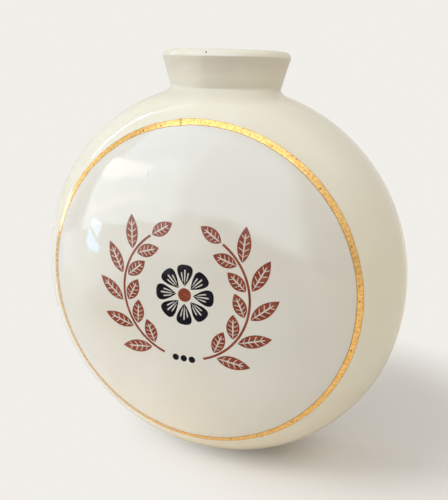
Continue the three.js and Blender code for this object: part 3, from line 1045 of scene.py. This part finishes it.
def stroke(name, middle, half_width, material):
    """A thin skin on the dome along a middle line of (X, Z) points, with a half width at each of them."""
    ahead = np.gradient(middle, axis=0)
    ahead /= np.linalg.norm(ahead, axis=1, keepdims=True)
    side = np.stack([-ahead[:, 1], ahead[:, 0]], -1)
    across = np.linspace(-1, 1, STROKE_ROWS)
    flat = (middle + side * half_width[:, None] * across[:, None, None]).reshape(-1, 2)
    steps = len(middle)
    share = np.linspace(0, 1, steps)
    uv = np.stack([np.tile(share, STROKE_ROWS), np.repeat(across / 2 + 0.5, steps)], -1)
    piece = make_skin(name, flat, uv, (STROKE_ROWS, steps), PRINT_LIFT, False, material)
    close_ends(piece.data)
    lay_normals(piece)
    return piece


print("a stroke is", STROKE_ROWS, "points wide and", round(PRINT_LIFT / MM, 2), "mm above the glaze")

# %% [markdown]
# ## Leaves and petals
# A leaf is widest before its middle and a petal near its tip. Both edges of either come from one cubic
# curve, whose two pulls set where it bulges. The left half of the garland is the mirror image of the right
# one, so every shape is worked out once and printed twice.

# %% Garland sizes and shapes
GARLAND_RADIUS = 25 * MM
STEM_WIDTH = 0.9 * MM
STEM_FOOT_GAP = 16 * MM
STEM_TIP_GAP = 30 * MM
LEAF_WIDTH = 5 * MM
OUTER_LEAF_LENGTH = 13 * MM
INNER_LEAF_LENGTH = 9.5 * MM
LEAF_ANGLE = math.radians(38)
EYE_RADIUS = 2.6 * MM
PETAL_LENGTH = 8.2 * MM
PETAL_COUNT = 8
PETAL_WIDEST = 0.7
DOT_RADIUS = 1.3 * MM
PATCH_SPACING = 0.7 * MM
LEAF_STEPS = 40
LEAF_PULLS = ((0.25, 1), (0.65, 1))
PETAL_PULLS = ((0.45, 0.7), (1, 1.25))


def outline_curve(pulls, length, width):
    """Distance along and half width of a leaf or petal. A pull is a share of its length and of its bulge."""
    bulge = width * 2 / 3
    first, second = ((length * along, bulge * out) for along, out in pulls)
    edge = bezier((0, 0), first, second, (length, 0), LEAF_STEPS)
    return np.concatenate([[(0, 0)], edge]).T


def polar(radius, angle):
    return np.array([radius * math.cos(angle), radius * math.sin(angle)])


def along_line(base, direction, distance):
    return base + np.outer(distance, [math.cos(direction), math.sin(direction)])


def print_both(name, middle, half_width, material):
    """The stroke on the right half of the garland and its mirror image on the left, both in rust."""
    for hand, flip in (("right", 1), ("left", -1)):
        piece = stroke(f"{name}_{hand}_print", middle * [flip, 1], half_width, material)
        dress(piece, "rust_enamel", f"{name}_{hand}")


print("garland", round(2 * GARLAND_RADIUS / MM, 1), "mm across,", PETAL_COUNT, "petals")


# %% Stems and leaves
def print_leaf(name, base, direction, length):
    distance, half = outline_curve(LEAF_PULLS, length, LEAF_WIDTH)
    print_both(name, along_line(base, direction, distance), half, rust_leaf)


def print_stems():
    start = -math.pi / 2 + STEM_FOOT_GAP / 2 / GARLAND_RADIUS
    end = math.pi / 2 - STEM_TIP_GAP / 2 / GARLAND_RADIUS
    pitch = (LEAF_WIDTH + PATCH_SPACING) / math.sin(LEAF_ANGLE) / (GARLAND_RADIUS - LEAF_WIDTH / 2)
    count = math.floor((end - start) / pitch)
    angle = np.linspace(start, end, LEAF_STEPS * 2)
    middle = np.stack([GARLAND_RADIUS * np.cos(angle), GARLAND_RADIUS * np.sin(angle)], -1)
    print_both("stem", middle, np.full(len(angle), STEM_WIDTH / 2), rust_plain)
    clear = STEM_WIDTH / 2 + PATCH_SPACING
    for i in range(count):
        place = start + pitch * (i + 0.5)
        along = place + math.pi / 2
        outer_base = polar(GARLAND_RADIUS + clear, place)
        inner_base = polar(GARLAND_RADIUS - clear, place)
        print_leaf(f"outer_leaf_{i + 1}", outer_base, along - LEAF_ANGLE, OUTER_LEAF_LENGTH)
        print_leaf(f"inner_leaf_{i + 1}", inner_base, along + LEAF_ANGLE, INNER_LEAF_LENGTH)
    tip = end + PATCH_SPACING / GARLAND_RADIUS
    print_leaf("tip_leaf", polar(GARLAND_RADIUS, tip), tip + math.pi / 2, INNER_LEAF_LENGTH)
    return count


leaf_pairs = print_stems()
print("stems:", leaf_pairs, "pairs of leaves on each, and a leaf at its tip")


# %% Rosette and berries
def print_dot(name, centre, radius, material, slot):
    """A round dot: a stroke as long as it is wide, whose half width is that of a circle."""
    turn = np.linspace(0, math.pi, LEAF_STEPS)
    middle = np.array(centre) + np.stack([-radius * np.cos(turn), np.zeros(LEAF_STEPS)], -1)
    dress(stroke(f"{name}_print", middle, radius * np.sin(turn), material), slot, name)


def print_rosette():
    base = EYE_RADIUS + PATCH_SPACING
    widest_at = base + PETAL_LENGTH * PETAL_WIDEST
    width = 2 * widest_at * math.sin(math.pi / PETAL_COUNT) - PATCH_SPACING
    distance, half = outline_curve(PETAL_PULLS, PETAL_LENGTH, width)
    for i in range(PETAL_COUNT):
        angle = math.pi / 2 + 2 * math.pi * i / PETAL_COUNT
        middle = along_line(polar(base, angle), angle, distance)
        petal = stroke(f"rosette_petal_{i + 1}_print", middle, half, navy_petal)
        dress(petal, "navy_enamel", f"rosette_petal_{i + 1}")
    print_dot("rosette_eye", (0, 0), EYE_RADIUS, rust_plain, "rust_enamel")


print_rosette()
for dot_name, dot_place in (("left", -1), ("middle", 0), ("right", 1)):
    dot_x = dot_place * (2 * DOT_RADIUS + PATCH_SPACING)
    print_dot(f"berry_{dot_name}", (dot_x, -GARLAND_RADIUS), DOT_RADIUS, navy_plain, "navy_enamel")
print("rosette:", PETAL_COUNT, "petals and an eye, with three berries below it")

# %% [markdown]
# ## The floor
# The vase stands on a plain pale floor that runs out into a pale background, so no horizon shows. Under
# the vase the floor is plaster and takes its shadow. A bright lamp could bleach the rest, but it would
# bleach the vase too. So, away from the middle of the shadow, a Mix Shader turns the plaster into an even
# paper tone for the camera, and for glossy rays into a glowing tone with painted light and shade: warm on
# the right, a painted cool light on the left, a painted shade in front of the vase and a painted pool of
# window light by the window. All other rays see plain plaster, in the tone that it bounces.

# %% Floor
FLOOR_SIZE = 1.6
FLOOR_TONE = rgb(0.88, 0.84, 0.78)
FLOOR_TONE_PALE = rgb(0.87, 0.84, 0.79)
FLOOR_BOUNCE = rgb(0.80, 0.735, 0.645)
FLOOR_ROUGHNESS = 0.7
PLASTER_SCALE = 40
PLASTER_PALE = (0.3, 0.7)
BACKGROUND = rgb(0.88, 0.86, 0.82)
SHADOW_MIDDLE = (0.045, 0.03, 0)
FADE = (0.045, 0.115)
FLOOR_IN_MIRRORS = rgb(0.87, 0.79, 0.67)
# A painted cool light on the left, seen only in reflections.
LEFT_IN_MIRRORS = rgb(0.80, 0.85, 0.98)
LEFT_X = (0.0, -0.06)
LEFT_Y = (-0.12, -0.08)
# Painted shade in front of the vase, seen only in reflections.
FRONT_SHADE_IN_MIRRORS = rgb(0.10, 0.09, 0.08)
FRONT_Y = (-0.09, -0.15)
FRONT_RIGHT_X = (0.14, 0.07)
FRONT_LEFT_X = (-0.24, -0.14)
# A painted pool of window light, brighter than white, seen only in reflections.
WINDOW_LIGHT_POOL_IN_MIRRORS = rgb(1.60, 1.62, 1.58)
WINDOW_SIDE_X = (-0.14, -0.26)
WINDOW_SIDE_Y = (-0.06, -0.14)
MIRROR_SHARE = 0.9


# Painted light and shade on the floor for glossy rays: cool light on the left, shade in front, a glowing
# pool of window light.
def mirrored_floor(place):
    x, y, _ = place.axes()
    on_left = x.ramp(*LEFT_X) * y.ramp(*LEFT_Y)
    painted_front_shade = y.ramp(*FRONT_Y) * x.ramp(*FRONT_RIGHT_X) * x.ramp(*FRONT_LEFT_X)
    window_light_pool = x.ramp(*WINDOW_SIDE_X) * y.ramp(*WINDOW_SIDE_Y)
    tone = on_left.mix(FLOOR_IN_MIRRORS, LEFT_IN_MIRRORS)
    tone = painted_front_shade.mix(tone, FRONT_SHADE_IN_MIRRORS)
    return window_light_pool.mix(tone, WINDOW_LIGHT_POOL_IN_MIRRORS)


def floor_material():
    material, ink = new_material("pale_floor")
    place = ink.node("ShaderNodeTexCoord", out="Object")
    seen = ink.node("ShaderNodeLightPath", out="Is Camera Ray")
    glossy = ink.node("ShaderNodeLightPath", out="Is Glossy Ray")
    tone = place.noise(PLASTER_SCALE, detail=3).ramp(*PLASTER_PALE).mix(FLOOR_TONE, FLOOR_TONE_PALE)
    plaster_inputs = {"Base Color": seen.mix(FLOOR_BOUNCE, tone), "Roughness": FLOOR_ROUGHNESS}
    plaster = ink.node("ShaderNodeBsdfPrincipled", None, plaster_inputs)
    paper_tone = seen.mix(mirrored_floor(place), BACKGROUND)
    paper = ink.node("ShaderNodeEmission", None, {"Color": paper_tone, "Strength": 1.0})
    share = away_from(place, SHADOW_MIDDLE).ramp(*FADE) * (seen + MIRROR_SHARE * glossy)
    surface = ink.node("ShaderNodeMixShader", None, {0: share, 1: plaster, 2: paper})
    ink.node("ShaderNodeOutputMaterial", None, {"Surface": surface})
    return material


def make_floor():
    half = FLOOR_SIZE / 2
    corners = np.array([(-half, -half, 0), (half, -half, 0), (half, half, 0), (-half, half, 0)])
    floor = make_piece("floor", corners, [(0, 1, 2, 3)], floor_material())
    floor.location.z = cad_box[0][2]
    return floor


floor = make_floor()
print("floor at", round(floor.location.z / MM, 1), "mm")

# %% [markdown]
# ## The soft light of the room
# Glaze and gold show what is round them, so the light has two halves. The first is the soft light that
# falls on every surface: an even room, and one broad glow from high in front. A single lamp could give it,
# with hard shadows; a world gives it from all sides. The glow falls off with the square of the cosine from
# its middle.

# %% Room light
ROOM_TONE = (0.344, 0.340, 0.340)
GLOW_TONE = (0.395, 0.396, 0.405)
GLOW_AHEAD = heading(math.radians(-20), math.radians(48))


def facing(direction, ahead):
    inputs = {0: direction, 1: ahead}
    return direction.node("ShaderNodeVectorMath", {"operation": "DOT_PRODUCT"}, inputs, out="Value")


def room_light(direction):
    share = facing(direction, GLOW_AHEAD).larger(0.0) ** 2
    glow = direction.node("ShaderNodeVectorMath", {"operation": "SCALE"}, {0: GLOW_TONE, "Scale": share})
    return direction.node("ShaderNodeVectorMath", {"operation": "ADD"}, {0: ROOM_TONE, 1: glow})


print("soft light: room", ROOM_TONE, "and glow", GLOW_TONE)

# %% [markdown]
# ## The mirrored room
# The second half is what glaze and gold reflect. For glossy rays alone the world is a plain room, brighter
# towards its ceiling, with a hazy window on the left. It could be built from walls and boards, but a few
# rectangles painted on the sky need no objects: each is a pane that faces the vase from a direction, with
# a width, a height, a turn and a soft edge in degrees. A shade low in front and a duller panel beside the
# window give the face and the gold their darker stretches.

# %% Mirrored room
WALL_FOOT = (0.60, 0.57, 0.52)
WALL_MIDDLE = (0.78, 0.76, 0.72)
WALL_TOP = (0.90, 0.90, 0.88)
CEILING = (1.50, 1.50, 1.45)
WALL_STOPS = ((0.0, WALL_FOOT), (0.28, WALL_MIDDLE), (0.66, WALL_TOP), (0.85, CEILING))
WALL_BEHIND_LEFT = rgb(0.78, 0.745, 0.67)
WALL_BEHIND_RIGHT = rgb(0.72, 0.68, 0.60)
LEFT_TO_RIGHT = (-0.4, 0.4)
FRONT_TO_BEHIND = (-0.1, 0.35)
BEFORE_THE_VASE = (0.0, 0.1)
PANES = (
    # what it stands for, azimuth, elevation, width, height, turn, soft edge, colour
    ("sky_veil", -22, 21, 76, 58, 0, 14, (2.20, 2.65, 3.10)),
    ("window_haze", -46, 7, 38, 30, 0, 6, (3.15, 3.80, 4.00)),
    ("window_upper_light", -50, 17, 28, 6, -8, 1.5, (5.40, 5.70, 5.70)),
    ("window_lower_light", -47, 3, 28, 4, 3, 1.2, (4.30, 4.60, 4.60)),
    ("front_shade", 8, -10, 62, 12, 0, 6, (0.16, 0.15, 0.14)),
    ("left_wall", -88, 14, 16, 22, 0, 8, (1.15, 1.13, 1.08)),
    ("left_window", -94, 0, 7, 11, 0, 1.5, (3.10, 3.25, 5.00)),
    ("duller_panel", -72, 33, 22, 22, 0, 1.0, (0.86, 0.82, 0.74)),
)


def pane(direction, azimuth, elevation, width, height, turn, soft):
    """1 inside a rectangle seen in a direction, 0 outside it. All angles are in degrees."""
    azimuth, elevation, turn = (math.radians(angle) for angle in (azimuth, elevation, turn))
    ahead = heading(azimuth, elevation)
    right = Vector((math.cos(azimuth), math.sin(azimuth), 0))
    up = ahead.cross(right)
    spin = Matrix.Rotation(turn, 3, ahead)
    depth = facing(direction, ahead)
    inside = depth.ramp(*BEFORE_THE_VASE)
    for axis, size in ((spin @ right, width), (spin @ up, height)):
        outer = math.tan(math.radians((size + soft) / 2))
        inner = math.tan(math.radians(max(size - soft, 0) / 2))
        inside = inside * abs(facing(direction, axis) / depth).ramp(outer, inner)
    return inside


def mirrored_room(direction):
    x, y, z = direction.axes()
    colour = direction.node("ShaderNodeValToRGB", {"stops": WALL_STOPS}, {"Fac": z}, out="Color")
    behind = x.ramp(*LEFT_TO_RIGHT).mix(WALL_BEHIND_LEFT, WALL_BEHIND_RIGHT)
    colour = y.ramp(*FRONT_TO_BEHIND).mix(colour, behind)
    for _, *place, tone in PANES:
        colour = pane(direction, *place).mix(colour, rgb(*tone))
    return colour


print("mirrored room:", [name for name, *_ in PANES])

# %% [markdown]
# ## The world
# One world holds both halves and the pale background. Light Path tells them apart: the camera sees the
# background, glossy rays see the mirrored room, and all other rays see the soft light.


# %% World
def make_world():
    world = bpy.data.worlds.new("studio")
    world.use_nodes = True
    world.node_tree.nodes.clear()
    ink = Wire(world.node_tree)
    direction = ink.node("ShaderNodeTexCoord", out="Generated")
    tones = (room_light(direction), mirrored_room(direction), BACKGROUND)
    soft, mirror, paper = (
        ink.node("ShaderNodeBackground", None, {"Color": tone, "Strength": 1.0}) for tone in tones)
    glossy = ink.node("ShaderNodeLightPath", out="Is Glossy Ray")
    seen = ink.node("ShaderNodeLightPath", out="Is Camera Ray")
    room = ink.node("ShaderNodeMixShader", None, {0: glossy, 1: soft, 2: mirror})
    surface = ink.node("ShaderNodeMixShader", None, {0: seen, 1: room, 2: paper})
    ink.node("ShaderNodeOutputWorld", None, {"Surface": surface})
    bpy.context.scene.world = world


make_world()
print("world:", len(bpy.context.scene.world.node_tree.nodes), "nodes")

# %% [markdown]
# ## The lamps
# Lamps add direction. The window light on the left, a large one high on the right, a faint glow from the
# lit floor and a long light beside the left shoulder are kept out of reflections, because the mirrored
# room already stands for them. A narrow strip with a fainter end draws the bright line on the left
# shoulder, and two small panes draw the blue glint of the window on the face, so these do show. Area lamps
# are used throughout, because a glaze shows the shape of its lamp.

# %% Lamps
VASE = (0, -0.02, 0)
LAMPS = (
    # name, place, aim, width and height, turn, power, colour, shows in reflections
    ("window_light", (-0.30, -0.25, 0.30), (-0.20, -0.18, -0.075), (0.25, 0.25), 0, 0.92,
     (0.894, 0.945, 1.0), False),
    ("right_top", (0.62, -0.17, 0.77), VASE, (0.60, 0.50), 0, 2.20, (1.0, 0.96, 0.89), False),
    ("floor_glow", (-0.066, -0.08, -0.073), (-0.066, -0.08, 0.1), (0.15, 0.06), 0, 0.0132,
     (1.0, 0.84, 0.60), False),
    ("shoulder_light", (-0.74, 0.05, 0.46), VASE, (0.018, 0.95), 0, 0.24, (1.0, 0.92, 0.80), False),
    ("shoulder_strip", (-0.727, 0.0, 0.477), VASE, (0.030, 0.42), 0, 0.31, (0.38, 0.68, 1.0), True),
    ("strip_end", (-0.47, -0.05, 0.733), VASE, (0.040, 0.28), 0, 0.08, (0.38, 0.68, 1.0), True),
    ("pane_upper", (-0.381, -0.321, -0.020), VASE, (0.075, 0.027), -22, 0.036, (0.46, 0.73, 1.0), True),
    ("pane_lower", (-0.388, -0.315, -0.061), VASE, (0.095, 0.040), -22, 0.073, (0.20, 0.56, 1.0), True),
)


def make_lamp(name, place, aim, size, turn, power, colour, shows):
    data = bpy.data.lights.new(name, "AREA")
    data.shape = "RECTANGLE"
    data.size, data.size_y = size
    data.energy = power
    data.color = colour
    lamp = bpy.data.objects.new(name, data)
    lamp.location = place
    aimed = (Vector(aim) - Vector(place)).to_track_quat("-Z", "Y")
    lamp.rotation_euler = (aimed @ Quaternion((0, 0, 1), math.radians(turn))).to_euler()
    lamp.visible_glossy = shows
    lamp.visible_camera = False
    bpy.context.collection.objects.link(lamp)


for lamp_settings in LAMPS:
    make_lamp(*lamp_settings)
bpy.context.scene.view_settings.view_transform = "Standard"
